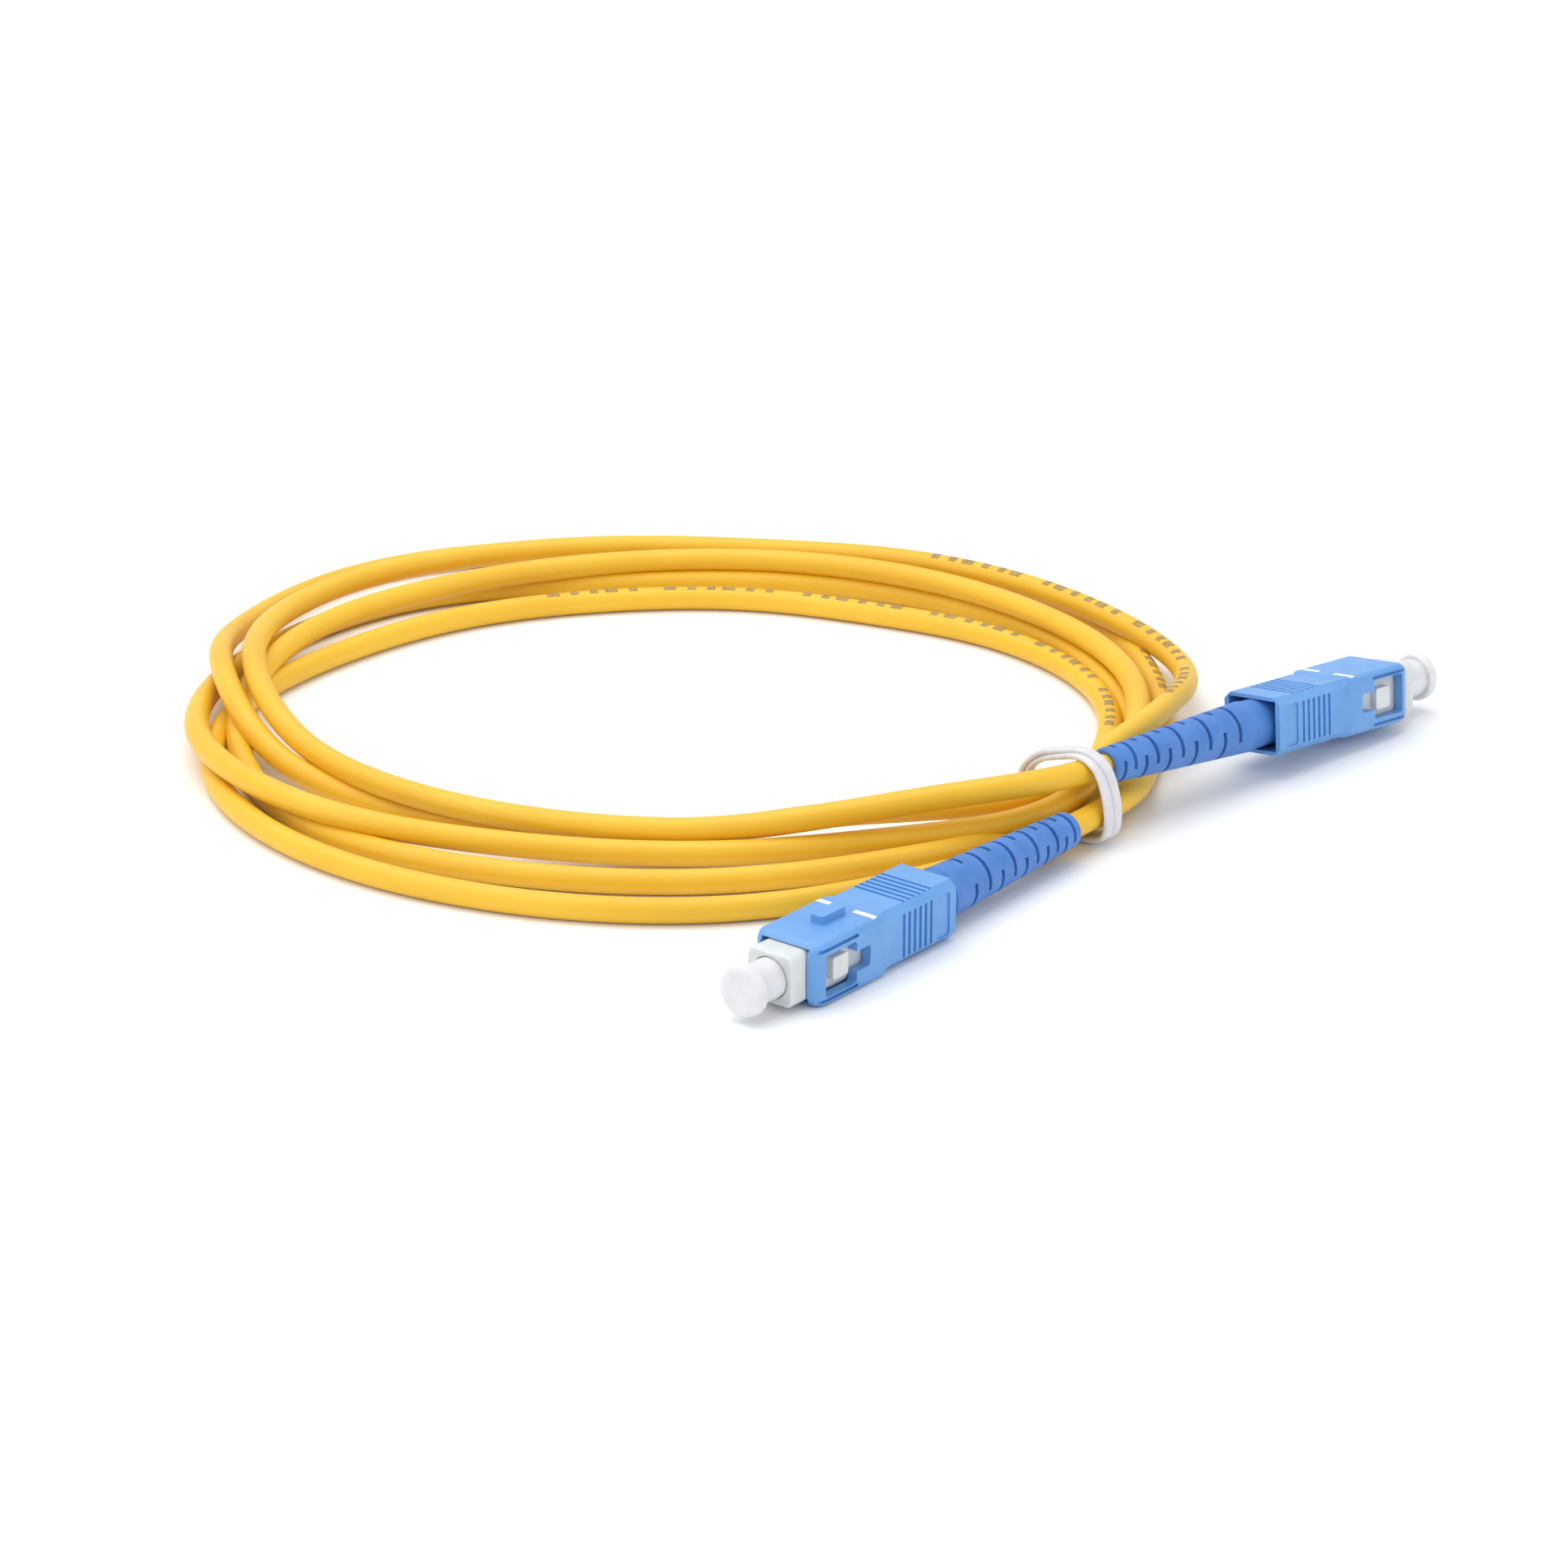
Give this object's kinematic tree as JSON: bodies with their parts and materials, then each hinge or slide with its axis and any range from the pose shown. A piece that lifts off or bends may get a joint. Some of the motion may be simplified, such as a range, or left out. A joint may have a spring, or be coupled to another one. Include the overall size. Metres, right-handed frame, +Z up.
{
  "type": "fiber optic patch cord",
  "caption": "Simplex fiber optic patch cord wound in a tied coil, with a push-pull plug, long slotted boot and dust cap on both ends.",
  "frame": {"origin": "on the table, under the middle of the box around the two plugs and the tie band", "axes": "+Z up; +Y away from the viewer of the coil's front, where the flat plug lies; +X to the right"},
  "size_m": [0.1551, 0.1571, 0.011],
  "materials": {
    "grip_plastic": "satin moulded",
    "frame_plastic": "translucent white, moulded",
    "cap_plastic": "translucent white, soft",
    "ceramic": "polished ceramic",
    "nickel_brass": "nickel plated",
    "spring_steel": "drawn wire",
    "tube_plastic": "waxy",
    "aramid": "loose yarn",
    "crimp_aluminium": "satin, crimped",
    "buffer_plastic": "matt",
    "jacket_pvc": "satin PVC with a fine matt grain",
    "boot_rubber": "matt moulded elastomer",
    "band_rubber": "translucent, smooth"
  },
  "bodies": {
    "root": {"plug_frame_a": "frame_plastic", "ferrule_spring_a": "spring_steel", "spring_stop_a": "nickel_brass", "inner_tube_a": "tube_plastic", "aramid_yarn_a": "aramid", "crimp_ring_a": "crimp_aluminium", "buffered_fiber_a": "buffer_plastic", "jacket_stub_a": "jacket_pvc", "boot_a": "boot_rubber", "plug_frame_b": "frame_plastic", "ferrule_spring_b": "spring_steel", "spring_stop_b": "nickel_brass", "inner_tube_b": "tube_plastic", "aramid_yarn_b": "aramid", "crimp_ring_b": "crimp_aluminium", "buffered_fiber_b": "buffer_plastic", "jacket_stub_b": "jacket_pvc", "boot_b": "boot_rubber", "tie_band": "band_rubber", "cable_coil": "jacket_pvc", "cable_lead_a": "jacket_pvc", "cable_lead_b": "jacket_pvc"},
    "grip_a": {"grip_a": "grip_plastic"},
    "ferrule_a": {"ferrule_a": "ceramic", "ferrule_flange_a": "nickel_brass"},
    "cap_a": {"dust_cap_a": "cap_plastic"},
    "grip_b": {"grip_b": "grip_plastic"},
    "ferrule_b": {"ferrule_b": "ceramic", "ferrule_flange_b": "nickel_brass"},
    "cap_b": {"dust_cap_b": "cap_plastic"}
  },
  "joints": [
    {"name": "grip_slide_a", "type": "slide", "parent": "root", "child": "grip_a", "axis": [-0.628, -0.7782, 0], "range_m": [-0.0015, 0.0005]},
    {"name": "ferrule_float_a", "type": "slide", "parent": "root", "child": "ferrule_a", "axis": [-0.628, -0.7782, 0], "range_m": [-0.0015, 0], "stiffness_N_per_m": 2000, "springref_m": 0.003, "deforming": ["ferrule_spring_a"]},
    {"name": "cap_pull_a", "type": "slide", "parent": "root", "child": "cap_a", "axis": [-0.628, -0.7782, 0], "range_m": [0, 0.012]},
    {"name": "grip_slide_b", "type": "slide", "parent": "root", "child": "grip_b", "axis": [0.7066, 0.7042, -0.0698], "range_m": [-0.0015, 0.0005]},
    {"name": "ferrule_float_b", "type": "slide", "parent": "root", "child": "ferrule_b", "axis": [0.7066, 0.7042, -0.0698], "range_m": [-0.0015, 0], "stiffness_N_per_m": 2000, "springref_m": 0.003, "deforming": ["ferrule_spring_b"]},
    {"name": "cap_pull_b", "type": "slide", "parent": "root", "child": "cap_b", "axis": [0.7066, 0.7042, -0.0698], "range_m": [0, 0.012]}
  ]
}
